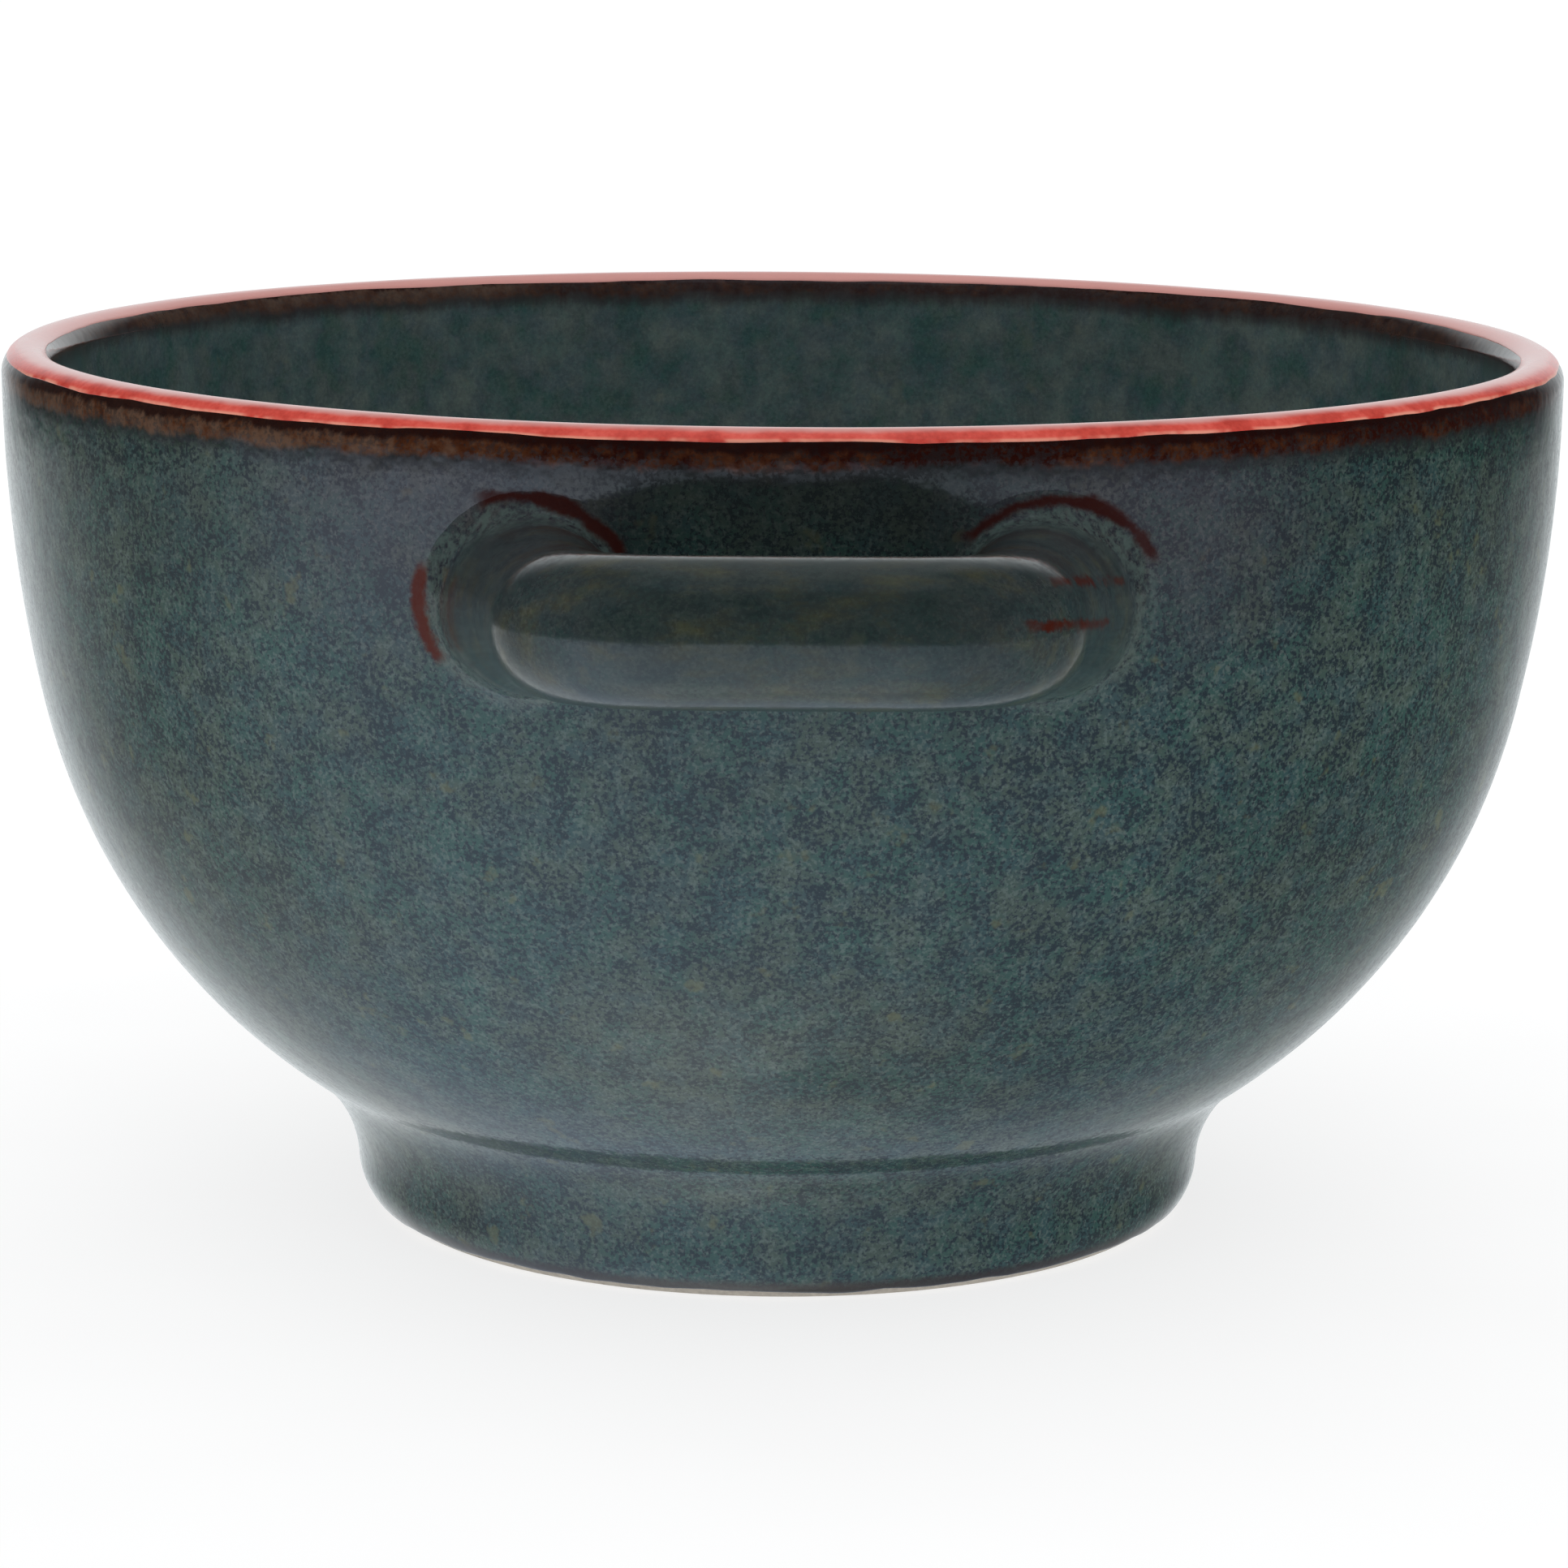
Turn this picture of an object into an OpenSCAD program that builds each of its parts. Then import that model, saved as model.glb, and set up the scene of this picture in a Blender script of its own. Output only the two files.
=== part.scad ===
// Lug soup bowl: a glazed stoneware bowl on a foot ring, with a lug handle luted to each side.
// Frame: millimetres, +Z up, the origin at the centre of the foot on the table, the lugs on -Y and +Y.
// Every piece of the section is a chain of arcs, and each coat follows the clay under it at one depth.

/* [Bowl] */
// Diameter across the widest part of the glazed wall, just under the lip
rim_d = 136; // [122:0.5:156]
// Height from the table to the top of the lip
bowl_h = 76.9; // [68:0.1:90]
// Thickness of the glazed wall and of its full-round lip
wall_t = 4.5; // [3.5:0.1:6]
// Radius of the nearly upright upper wall, in section
upper_wall_r = 132; // [100:1:200]
// Height at which the upper wall turns into the rounder lower wall
wall_join_h = 46.3; // [38:0.1:54]
// Thickness of the floor between the inside and the recess under the bowl
floor_t = 5.4; // [4:0.1:8]

/* [Foot] */
// Diameter of the foot's side where it would meet the table
foot_d = 74.8; // [64:0.2:86]
// Height of the foot ring's side, up to the cove
foot_h = 4.3; // [4:0.1:7.5]
// Lean of the foot's side in degrees, outward going up
foot_lean = 5; // [0:0.5:8]
// Radius of the cove between the foot and the wall
cove_r = 12; // [8:0.5:16]
// Radius of the rounding along the foot's lower outer edge
foot_edge_r = 5.4; // [4.6:0.1:7]
// Height at which that rounding starts
foot_edge_h = 3.7; // [2.7:0.1:3.9]
// Width of the bare face that stands on the table
foot_face_w = 4.8; // [3:0.1:7]
// Lean of the ring's inner side in degrees, inward going up
recess_lean = 15; // [5:1:30]

/* [Lugs] */
// Distance from the top of the lip down to where the legs' centre lines meet the wall
lug_drop = 13.8; // [12.5:0.1:24]
// Rise of a lug in degrees, going out from the wall
lug_rise = 4; // [0:0.5:10]
// Distance between the centre lines of the two legs where they meet the wall
lug_span = 39.6; // [35:0.2:46]
// Splay of the legs in degrees, outward towards the wall
leg_splay = 12; // [4:0.5:20]
// Distance from the widest part of the wall out to the bar's centre line
lug_reach = 19; // [15:0.1:24]
// Diameter of the glazed bar
bar_d = 11.2; // [9:0.1:13]
// Diameter of a glazed leg where it meets the wall
root_d = 12.4; // [11.4:0.1:15]
// Bend radius of the elbows, on the centre line
elbow_r = 8.5; // [7:0.1:10]
// Width of the collar of luting slip beside a leg, along the wall
slip_w = 0.5; // [0.4:0.1:2]
// Height of the collar, square to the wall, at which it runs out inside the leg
slip_h = 1.8; // [1.5:0.1:3.5]

/* [Coats] */
// Thickness of the glaze and of the lip's coloured band
glaze_t = 0.3; // [0.2:0.05:0.5]
// How far the lip band reaches down the outside, in degrees from the crest
band_outer_a = 53; // [30:1:75]
// How far the lip band reaches down the inside, in degrees from the crest
band_inner_a = 45; // [30:1:75]
// Height of bare clay left along the foot's outer edge
bare_foot_h = 0.6; // [0.4:0.1:1.5]
// Height of bare clay left along the foot's inner edge
bare_recess_h = 0.8; // [0.4:0.1:1.5]

/* [Hidden] */
$fn = 240;
// Straight steps along each arc of the section
lip_steps = 6;
band_steps = 12;
wall_steps = 10;
cove_steps = 8;
edge_steps = 5;
bare_steps = 2;
// Least radius of the flat in the middle of the floor
floor_flat_r = 5;
// Colours of the four materials
clay_colour = [0.72, 0.67, 0.58];
slip_colour = [0.62, 0.56, 0.48];
glaze_colour = [0.20, 0.26, 0.26];
band_colour = [0.74, 0.28, 0.24];

// Lip: a full round on top of the wall
rim_r = rim_d / 2;
lip_r = wall_t / 2;
lip_c = [rim_r - lip_r, bowl_h - lip_r];

// Upper wall: upright at the lip, leaning in by join_a where the lower wall takes over
upper_c = [rim_r - upper_wall_r, lip_c[1]];
join_a = asin((lip_c[1] - wall_join_h) / upper_wall_r);
join_n = [cos(join_a), -sin(join_a)];
join_p = upper_c + upper_wall_r * join_n;

// Foot side: a straight line with its outward normal, and the point where the cove leaves it
foot_n = [cos(foot_lean), -sin(foot_lean)];
cove_p = [foot_d / 2 + foot_h * tan(foot_lean), foot_h];
cove_c = cove_p + cove_r * foot_n;

// Lower wall: the one arc that runs smoothly from the upper wall into the cove
cove_from_join = cove_c - join_p;
lower_wall_r = (cove_from_join * cove_from_join - cove_r * cove_r)
    / (2 * (cove_r - cove_from_join * join_n));
lower_c = join_p - lower_wall_r * join_n;
under_a = atan2(lower_c[1] - cove_c[1], cove_c[0] - lower_c[0]);

// Foot edge: the rounding from the foot's side down to the table
edge_p = [foot_d / 2 + foot_edge_h * tan(foot_lean), foot_edge_h];
edge_c = edge_p - foot_edge_r * foot_n;

// Floor: one arc from the heel, where the lower wall ends inside, to a flat middle at the floor's height.
// On a bowl with a flat heel the arc is limited by the width that it has, and the floor is then thicker.
joint_h = foot_h + glaze_t * sin(foot_lean);
heel_n = [cos(under_a), -sin(under_a)];
heel_p = lower_c + (lower_wall_r - wall_t) * heel_n;
floor_arc_full_r = (heel_p[1] - joint_h + glaze_t - floor_t) / (1 - sin(under_a));
floor_arc_r = min(floor_arc_full_r, (heel_p[0] - floor_flat_r) / cos(under_a));
floor_arc_c = heel_p - floor_arc_r * heel_n;
floor_h = floor_arc_c[1] - floor_arc_r;

// Recess under the bowl, inside the foot ring
foot_face_r = edge_x(glaze_t, 0) - foot_face_w;
recess_r = foot_face_r - joint_h * tan(recess_lean);

// Lugs: where a leg's centre line meets the wall, and how the wall faces there
lug_h = bowl_h - lug_drop;
root_r = wall_x(lug_h);
root_x = lug_span / 2;
root_y = sqrt(root_r * root_r - root_x * root_x);
root_a = atan2(root_x, root_y);
root_tilt = asin((lip_c[1] - lug_h) / upper_wall_r);
// Bar and elbow: the elbow's arc runs smoothly from the bar into the leg
bar_y = rim_r + lug_reach;
elbow_c = [
    root_x - ((bar_y - elbow_r - root_y) * sin(leg_splay) + elbow_r) / cos(leg_splay),
    bar_y - elbow_r];
// Leg: from the end of the elbow to the wall, and on into the wall, where it is cut to the wall's curve
leg_len = (elbow_c[1] + elbow_r * sin(leg_splay) - root_y) / cos(leg_splay);
leg_flare = (root_d - bar_d) / 2 / leg_len;
root_sink = root_d;
// The coil is a little thicker round its elbows, and the bar and the legs run a little way into them
elbow_swell = 0.1;
elbow_lap = 1;
// Slip collar: a cone square to the wall, wide enough for a leg that meets the wall at a slant.
// Its tip lies inside the leg, so that the slip ends in a thin edge, and its base in the wall.
slip_tip_r = root_d / 2 - slip_h;
slip_base_r = root_d / 2 / cos(leg_splay + root_a) + slip_w;
slip_spread = (slip_base_r - slip_tip_r) / slip_h;
slip_sink = slip_base_r * slip_base_r / root_r;

// Points along an arc, both ends included
function arc(c, r, a0, a1, steps) =
    [for (i = [0 : steps]) let (a = a0 + (a1 - a0) * i / steps) c + r * [cos(a), sin(a)]];
// The same list without its first point, and in reverse
function rest(points) = [for (i = [1 : len(points) - 1]) points[i]];
function reversed(points) = [for (i = [len(points) - 1 : -1 : 0]) points[i]];
// The foot edge's radius at depth d below the glaze and at height h
function edge_x(d, h) = edge_c[0] + sqrt(pow(foot_edge_r - d, 2) - pow(edge_c[1] - h, 2));
function edge_a(d, h) = asin((edge_c[1] - h) / (foot_edge_r - d));
// The upper wall's radius at height h, measured over the glaze
function wall_x(h) = upper_c[0] + sqrt(pow(upper_wall_r, 2) - pow(lip_c[1] - h, 2));
// The recess side's radius at height h, measured in the clay
function recess_x(h) = foot_face_r - h * tan(recess_lean);

// Outlines at depth d below the glaze, from the lip down
function lip_outside(d, a) = arc(lip_c, lip_r - d, 90 - a, 0, lip_steps);
function lip_inside(d, a) = arc(lip_c, lip_r - d, 90 + a, 180, lip_steps);
function lip_top(d) = arc(lip_c, lip_r - d, 90 - band_outer_a, 90 + band_inner_a, band_steps);
function wall_outside(d) = concat(
    rest(arc(upper_c, upper_wall_r - d, 0, -join_a, wall_steps)),
    rest(arc(lower_c, lower_wall_r - d, -join_a, -under_a, wall_steps)),
    rest(arc(cove_c, cove_r + d, 180 - under_a, 180 - foot_lean, cove_steps)));
function wall_inside(d) = concat(
    rest(arc(upper_c, upper_wall_r - wall_t + d, 0, -join_a, wall_steps)),
    rest(arc(lower_c, lower_wall_r - wall_t + d, -join_a, -under_a, wall_steps)),
    rest(arc(floor_arc_c, floor_arc_r + d, -under_a, -90, wall_steps)),
    [[0, floor_h - d]]);
function foot_outside(d) = arc(edge_c, foot_edge_r - d, -foot_lean, -edge_a(d, bare_foot_h), edge_steps);
function foot_bare(d) =
    rest(arc(edge_c, foot_edge_r - d, -edge_a(d, bare_foot_h), -edge_a(d, 0), bare_steps));
// The two glazed surfaces at depth d, from the edge of the lip band down
function glazed_outside(d) = concat(lip_outside(d, band_outer_a), wall_outside(d), foot_outside(d));
function glazed_inside(d) = concat(lip_inside(d, band_inner_a), wall_inside(d));
// The clay's outside, from the edge of the lip band down to the joint with the foot ring
function clay_outside() = concat(lip_outside(glaze_t, band_outer_a), wall_outside(glaze_t));

// A turned piece from its section
module turned(points) {
    rotate_extrude() polygon(points);
}

// A coat between two matching outlines
module coat(outer, inner) {
    turned(concat(outer, reversed(inner)));
}

// Everything inside the clay's outer surface, for cutting the lugs to the wall
module clay_block() {
    outline = clay_outside();
    turned(concat([[0, outline[0][1]]], outline, [[0, joint_h]]));
}

// One elbow of a lug on +Y and its leg, which runs on into the wall, at depth d below the glaze
module limb(d) {
    leg_top_r = bar_d / 2 - d - leg_flare * elbow_lap;
    full_len = elbow_lap + leg_len + root_sink;
    translate([elbow_c[0], elbow_c[1], 0])
        rotate([0, 0, leg_splay]) {
            rotate_extrude(angle = 90 - leg_splay)
                translate([elbow_r, 0])
                    circle(r = bar_d / 2 + elbow_swell - d);
            translate([elbow_r, elbow_lap, 0])
                rotate([90, 0, 0])
                    cylinder(h = full_len, r1 = leg_top_r, r2 = leg_top_r + leg_flare * full_len);
        }
}

// The whole loop of a lug on +Y, level and at height 0
module level_loop(d) {
    bar_len = 2 * (elbow_c[0] + elbow_lap);
    translate([-bar_len / 2, bar_y, 0])
        rotate([0, 90, 0])
            cylinder(h = bar_len, r = bar_d / 2 - d);
    for (side = [0, 1])
        mirror([side, 0, 0])
            limb(d);
}

// The loop in its place, tipped up about the line through its two roots
module loop(d) {
    translate([0, root_y, lug_h])
        rotate([lug_rise, 0, 0])
            translate([0, -root_y, 0])
                level_loop(d);
}

// The two cones of luting slip at the roots of a lug on +Y
module slip_cones(d) {
    tip_r = slip_tip_r - d;
    cone_h = slip_h + slip_sink;
    for (side = [0, 1])
        mirror([side, 0, 0])
            translate([root_x, root_y, lug_h])
                rotate([0, 0, -root_a])
                    rotate([90 - root_tilt, 0, 0])
                        translate([0, 0, -slip_h])
                            cylinder(h = cone_h, r1 = tip_r, r2 = tip_r + slip_spread * cone_h);
}

// A lug and its slip together, with their glaze
module glazed_lug() {
    loop(0);
    slip_cones(0);
}

module lug_clay() {
    difference() {
        loop(glaze_t);
        clay_block();
    }
}

module lug_slip() {
    difference() {
        slip_cones(glaze_t);
        loop(glaze_t);
        clay_block();
    }
}

module lug_coat() {
    difference() {
        glazed_lug();
        loop(glaze_t);
        slip_cones(glaze_t);
        clay_block();
    }
}

// Turns a lug made on +Y to the front of the bowl
module to_front() {
    rotate([0, 0, 180]) children();
}

// The jiggered shell of the bowl, flat underneath where the ring is luted on
module bowl_body() {
    color(clay_colour)
        turned(concat(
            reversed(glazed_inside(glaze_t)),
            rest(reversed(lip_top(glaze_t))),
            rest(clay_outside()),
            [[0, joint_h]]));
}

// The foot ring, bare on the face that it stands on
module foot_ring() {
    color(clay_colour)
        turned(concat(
            [[recess_r, joint_h], [cove_p[0] - glaze_t * foot_n[0], joint_h]],
            foot_outside(glaze_t),
            foot_bare(glaze_t),
            [[foot_face_r, 0]]));
}

module front_lug() {
    color(clay_colour) to_front() lug_clay();
}

module rear_lug() {
    color(clay_colour) lug_clay();
}

module front_lug_slip() {
    color(slip_colour) to_front() lug_slip();
}

module rear_lug_slip() {
    color(slip_colour) lug_slip();
}

// The glaze outside, from the lip band to the foot, open around the roots of the lugs
module outer_glaze() {
    color(glaze_colour)
        difference() {
            coat(glazed_outside(0), glazed_outside(glaze_t));
            glazed_lug();
            to_front() glazed_lug();
        }
}

// The glaze inside, from the lip band to the middle of the floor
module inner_glaze() {
    color(glaze_colour) coat(glazed_inside(0), glazed_inside(glaze_t));
}

// The glaze under the bowl, on the ceiling of the recess and the ring's inner side
module recess_glaze() {
    side_t = glaze_t / cos(recess_lean);
    low_h = joint_h - glaze_t;
    color(glaze_colour)
        turned([
            [0, joint_h],
            [recess_r, joint_h],
            [recess_x(bare_recess_h), bare_recess_h],
            [recess_x(bare_recess_h) - side_t, bare_recess_h],
            [recess_x(low_h) - side_t, low_h],
            [0, low_h]]);
}

// The coloured band over the top of the lip
module lip_band() {
    color(band_colour) coat(lip_top(0), lip_top(glaze_t));
}

module front_lug_glaze() {
    color(glaze_colour) to_front() lug_coat();
}

module rear_lug_glaze() {
    color(glaze_colour) lug_coat();
}

bowl_body();
foot_ring();
front_lug();
rear_lug();
front_lug_slip();
rear_lug_slip();
outer_glaze();
inner_glaze();
recess_glaze();
lip_band();
front_lug_glaze();
rear_lug_glaze();
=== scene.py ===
import math

import bmesh
import bpy
import numpy as np
from mathutils import Matrix, Vector, noise


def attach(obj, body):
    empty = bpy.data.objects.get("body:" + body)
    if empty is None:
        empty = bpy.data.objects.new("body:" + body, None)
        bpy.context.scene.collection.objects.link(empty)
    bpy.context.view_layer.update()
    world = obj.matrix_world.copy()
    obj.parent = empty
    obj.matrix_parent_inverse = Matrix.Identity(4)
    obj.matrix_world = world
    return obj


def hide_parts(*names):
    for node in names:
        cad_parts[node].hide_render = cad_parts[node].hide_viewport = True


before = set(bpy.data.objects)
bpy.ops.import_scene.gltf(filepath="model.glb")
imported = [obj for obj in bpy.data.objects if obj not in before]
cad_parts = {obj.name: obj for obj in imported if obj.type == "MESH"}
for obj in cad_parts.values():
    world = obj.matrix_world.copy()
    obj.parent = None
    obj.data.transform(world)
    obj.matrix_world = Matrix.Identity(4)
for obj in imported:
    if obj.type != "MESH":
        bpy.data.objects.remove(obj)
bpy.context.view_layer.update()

# A millimetre in metres, and a metre in millimetres
MM = 0.001
METRE = 1000.0

# Sizes of the bowl in millimetres and degrees, as the part has them
RIM_R = 68.0
BOWL_H = 76.9
WALL_T = 4.5
UPPER_WALL_R = 132.0
WALL_JOIN_H = 46.3
FLOOR_T = 5.4
FOOT_R = 37.4
FOOT_H = 4.3
FOOT_LEAN = 5.0
COVE_R = 12.0
FOOT_EDGE_R = 5.4
FOOT_EDGE_H = 3.7
FOOT_FACE_W = 4.8
RECESS_LEAN = 15.0
LUG_DROP = 13.8
LUG_RISE = 4.0
LUG_SPAN = 39.6
LEG_SPLAY = 12.0
LUG_REACH = 19.0
BAR_R = 5.6
ELBOW_R = 8.5
GLAZE_T = 0.3
BAND_OUTER_A = 53.0
BAND_INNER_A = 45.0
BARE_FOOT_H = 0.6
BARE_RECESS_H = 0.8

# Finer form that the coats have over the clay, in millimetres and degrees
WAVE = 0.05
WAVE_LENGTH = 24.0
WAVE_SQUASH = 1.5
FINE_WAVE = 0.4
FINE_WAVE_RATE = 3.1
RING_NOISE_GAIN = 1.6
BAND_PROUD = 0.06
BAND_EDGE_SINK = 0.04
BAND_TUCK_A = 8.0
BAND_EDGE_WANDER_A = 3.2
FOOT_EDGE_WANDER = 0.18
FOOT_BEAD_H = 0.2
BARE_FOOT_LEAST_H = 0.3
RECESS_FILLET = 1.6
ROOT_EDGE_SINK = 0.012
ROOT_HALF_W = 6.2
ROOT_HALF_H = 6.6
FILLET_UP_LEG = 3.0
FILLET_BESIDE = 2.3
FILLET_ABOVE = 2.5
SHARP_A = 60.0

# The share of the unevenness that the rounded ends and the lip band take
BEAD_SHOWN = 0.5
BAND_SHOWN = 0.6

# How the edges of the coats wander: weight, cycles around the bowl and seed of each noise
FOOT_EDGE_NOISE = ((1.0, 26, 3.1), (0.6, 90, 7.7))
RECESS_EDGE_NOISE = ((1.0, 30, 11.3),)
BAND_OUTER_NOISE = ((1.0, 34, 21.3), (0.7, 110, 5.9))
BAND_INNER_NOISE = ((1.0, 30, 33.8), (0.5, 120, 8.4))

# Steps of the meshes. The spacings are in millimetres
TURNS = 256
SPACING = 0.8
COVE_SPACING = 0.5
LEAST_STEPS = 3
LIP_STEPS = 12
FOOT_EDGE_STEPS = 14
BEAD_STEPS = 5
FLOOR_POINTS = 16
CEILING_POINTS = 24
RECESS_FILLET_STEPS = 10
BAND_STEPS = 40
BAND_ROUND_STEPS = 4
BAND_EDGE_POINTS = 5
LUG_SECTION = 96
FILLET_RINGS = 16
LEG_RINGS = 14
ELBOW_RINGS = 24
BAR_RINGS = 12
LEG_SEARCH = 40.0
HALVINGS = 40
TINY = 1e-9


def direction(degrees):
    a = math.radians(degrees)
    return np.array([math.cos(a), math.sin(a)])


# The section as a chain of arcs: the lip, the upper and lower wall, the cove, the foot and the floor
lip_r = WALL_T / 2
lip_c = np.array([RIM_R - lip_r, BOWL_H - lip_r])
upper_c = np.array([RIM_R - UPPER_WALL_R, lip_c[1]])
join_a = math.degrees(math.asin((lip_c[1] - WALL_JOIN_H) / UPPER_WALL_R))
join_n = direction(-join_a)
join_p = upper_c + UPPER_WALL_R * join_n
foot_n = direction(-FOOT_LEAN)
foot_slope = math.tan(math.radians(FOOT_LEAN))
cove_p = np.array([FOOT_R + FOOT_H * foot_slope, FOOT_H])
cove_c = cove_p + COVE_R * foot_n
cove_from_join = cove_c - join_p
lower_r = (cove_from_join @ cove_from_join - COVE_R**2) / (2 * (COVE_R - cove_from_join @ join_n))
lower_c = join_p - lower_r * join_n
under_a = math.degrees(math.atan2(lower_c[1] - cove_c[1], cove_c[0] - lower_c[0]))
edge_p = np.array([FOOT_R + FOOT_EDGE_H * foot_slope, FOOT_EDGE_H])
edge_c = edge_p - FOOT_EDGE_R * foot_n
joint_h = FOOT_H + GLAZE_T * math.sin(math.radians(FOOT_LEAN))
heel_n = direction(-under_a)
heel_p = lower_c + (lower_r - WALL_T) * heel_n
floor_r = (heel_p[1] - joint_h + GLAZE_T - FLOOR_T) / (1 - math.sin(math.radians(under_a)))
floor_c = heel_p - floor_r * heel_n
foot_face_r = edge_c[0] + math.sqrt((FOOT_EDGE_R - GLAZE_T) ** 2 - edge_c[1] ** 2) - FOOT_FACE_W
recess_slope = math.tan(math.radians(RECESS_LEAN))
ceiling_h = joint_h - GLAZE_T

# The loop of a lug, level and on +X and +Y: where its leg meets the wall, and where the elbow is
lug_h = BOWL_H - LUG_DROP
bar_y = RIM_R + LUG_REACH
root_x = LUG_SPAN / 2
root_r = upper_c[0] + math.sqrt(UPPER_WALL_R**2 - (lip_c[1] - lug_h) ** 2)
root_y = math.sqrt(root_r**2 - root_x**2)
root_a = math.atan2(root_x, root_y)
leg_side = direction(LEG_SPLAY)
leg_way = direction(LEG_SPLAY - 90)
elbow_y = bar_y - ELBOW_R
elbow_x = root_x - ((elbow_y - root_y) * leg_side[1] + ELBOW_R) / leg_side[0]
leg_top = np.array([elbow_x, elbow_y]) + ELBOW_R * leg_side
tip = direction(LUG_RISE)


def fixed_arc(centre, radius, start, end, steps):
    """Points along an arc in even steps, both ends included."""
    return [centre + radius * direction(start + (end - start) * i / steps) for i in range(steps + 1)]


def arc(centre, radius, start, end, spacing=SPACING):
    """Points along an arc, about one spacing apart, both ends included."""
    steps = max(LEAST_STEPS, round(math.radians(abs(end - start)) * radius / spacing))
    return fixed_arc(centre, radius, start, end, steps)


def chain(*runs):
    """Runs of points joined end to end, with the shared points kept once."""
    points = list(runs[0])
    for run in runs[1:]:
        points += list(run)[1:]
    return points


def edge_angle(depth, height):
    """Where on the foot's rounded edge a height is, in degrees below level."""
    return math.degrees(math.asin((edge_c[1] - height) / (FOOT_EDGE_R - depth)))


def wall_outside(depth):
    return chain(
        arc(upper_c, UPPER_WALL_R - depth, 0, -join_a),
        arc(lower_c, lower_r - depth, -join_a, -under_a),
        arc(cove_c, COVE_R + depth, 180 - under_a, 180 - FOOT_LEAN, COVE_SPACING),
    )


def wall_inside(depth):
    return chain(
        arc(upper_c, UPPER_WALL_R - WALL_T + depth, 0, -join_a),
        arc(lower_c, lower_r - WALL_T + depth, -join_a, -under_a),
        arc(floor_c, floor_r + depth, -under_a, -90),
    )


def wall_radius(height):
    """The outer wall's radius at a height near the lugs, the lip's round included."""
    if height > lip_c[1]:
        return lip_c[0] + math.sqrt(max(0.0, lip_r**2 - (height - lip_c[1]) ** 2))
    return upper_c[0] + math.sqrt(UPPER_WALL_R**2 - (lip_c[1] - height) ** 2)


def wander(angle, noises):
    """Smooth noise around the bowl, each about from -1 to 1 times its weight, that closes on itself."""
    total = 0.0
    for weight, cycles, seed in noises:
        k = cycles / (2 * math.pi)
        place = Vector((k * math.cos(angle), k * math.sin(angle), seed))
        total += weight * (RING_NOISE_GAIN * noise.noise(place))
    return total


def wave(x, y, z):
    """How far the glaze stands proud of, or short of, its even thickness."""
    p = Vector((x, y, z * WAVE_SQUASH)) / WAVE_LENGTH
    return WAVE * (noise.noise(p) + FINE_WAVE * noise.noise(p * FINE_WAVE_RATE))


def make_mesh(name, vertices, faces):
    """A smooth mesh object in the row frame from points in millimetres, with its faces turned outward."""
    mesh = bpy.data.meshes.new(name)
    mesh.from_pydata([tuple(c * MM for c in v) for v in vertices], [], faces)
    shape = bmesh.new()
    shape.from_mesh(mesh)
    bmesh.ops.recalc_face_normals(shape, faces=shape.faces)
    shape.to_mesh(mesh)
    shape.free()
    mesh.polygons.foreach_set("use_smooth", [True] * len(mesh.polygons))
    mesh.set_sharp_from_angle(angle=math.radians(SHARP_A))
    piece = bpy.data.objects.new(name, mesh)
    bpy.context.scene.collection.objects.link(piece)
    return piece


def turned(name, section, poles):
    """A turned piece. section(angle) gives (r, z, shown) points. With poles, its ends lie on the axis."""
    vertices, faces = [], []
    columns = []
    for i in range(TURNS):
        angle = 2 * math.pi * i / TURNS
        c, s = math.cos(angle), math.sin(angle)
        points = section(angle)
        flat = np.array([p[:2] for p in points])
        if poles:
            along = np.gradient(flat, axis=0)
        else:
            along = np.roll(flat, -1, axis=0) - np.roll(flat, 1, axis=0)
        along /= np.maximum(np.linalg.norm(along, axis=1, keepdims=True), TINY)
        column = []
        for j, (r, z, shown) in enumerate(points):
            if poles and j in (0, len(points) - 1):
                if i == 0:
                    vertices.append((0.0, 0.0, z))
                    column.append(len(vertices) - 1)
                else:
                    column.append(columns[0][j])
                continue
            lift = shown * wave(r * c, r * s, z)
            r, z = r + lift * along[j][1], z - lift * along[j][0]
            vertices.append((r * c, r * s, z))
            column.append(len(vertices) - 1)
        columns.append(column)
    count = len(columns[0])
    for i in range(TURNS):
        a, b = columns[i], columns[(i + 1) % TURNS]
        for j in range(count - 1 if poles else count):
            k = (j + 1) % count
            corners = [a[j], a[k], b[k], b[j]]
            faces.append([v for n, v in enumerate(corners) if v not in corners[:n]])
    return make_mesh(name, vertices, faces)


def marked(points, shown):
    """Points of a section with the share of the wave that they take."""
    return [(p[0], p[1], shown) for p in points]


def bead(top, bottom, outward):
    """The rounded end of a coat, from its outer to its inner surface."""
    middle, half = (top + bottom) / 2, np.linalg.norm(top - bottom) / 2
    across = (top - bottom) / (2 * half)
    return [
        middle + half * (math.cos(t) * across + math.sin(t) * outward)
        for t in (math.pi * i / BEAD_STEPS for i in range(1, BEAD_STEPS))
    ]


# Outer glaze: from under the lip band down to the bare edge of the foot
wall_out_0 = wall_outside(0)
wall_out_1 = wall_outside(GLAZE_T)


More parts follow.
